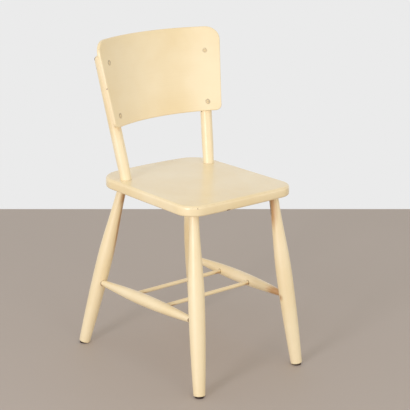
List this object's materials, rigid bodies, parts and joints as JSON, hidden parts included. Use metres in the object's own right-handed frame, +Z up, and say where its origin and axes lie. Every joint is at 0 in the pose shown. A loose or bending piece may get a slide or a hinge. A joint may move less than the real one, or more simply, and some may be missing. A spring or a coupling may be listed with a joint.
{
  "type": "side chair",
  "caption": "Small cream-painted wooden side chair with turned splayed legs, bent plywood back and slightly chipped glossy paint.",
  "frame": {"origin": "on the floor, midway between the four feet", "axes": "+Z up, -Y the way the chair faces, +X the sitter's left"},
  "size_m": [0.3869, 0.4714, 0.7945],
  "materials": {
    "seat_enamel": "old gloss cream enamel brushed over a plank seat, worn thin and chipped at the edges",
    "leg_enamel": "old gloss cream enamel brushed over turned wood, chipped at joints",
    "stretcher_enamel": "old gloss cream enamel brushed over turned wood, worn on top",
    "dowel_enamel": "old gloss cream enamel over thin dowel",
    "post_enamel": "old gloss cream enamel brushed over turned wood",
    "panel_enamel": "old gloss cream enamel over bent plywood, chipped along its edge",
    "screw_steel": "steel wood screw painted over in cream, with bare dark metal in the slot",
    "glide_plastic": "scuffed dark brown plastic, worn down to a level wedge"
  },
  "bodies": {
    "root": {"seat": "seat_enamel", "leg_front_right": "leg_enamel", "leg_front_left": "leg_enamel", "leg_rear_right": "leg_enamel", "leg_rear_left": "leg_enamel", "side_stretcher_right": "stretcher_enamel", "side_stretcher_left": "stretcher_enamel", "cross_dowel_front": "dowel_enamel", "cross_dowel_rear": "dowel_enamel", "back_post_right": "post_enamel", "back_post_left": "post_enamel", "back_panel": "panel_enamel", "screw_upper_right": "screw_steel", "screw_upper_left": "screw_steel", "screw_lower_right": "screw_steel", "screw_lower_left": "screw_steel", "glide_front_right": "glide_plastic", "glide_front_left": "glide_plastic", "glide_rear_right": "glide_plastic", "glide_rear_left": "glide_plastic"}
  },
  "joints": []
}
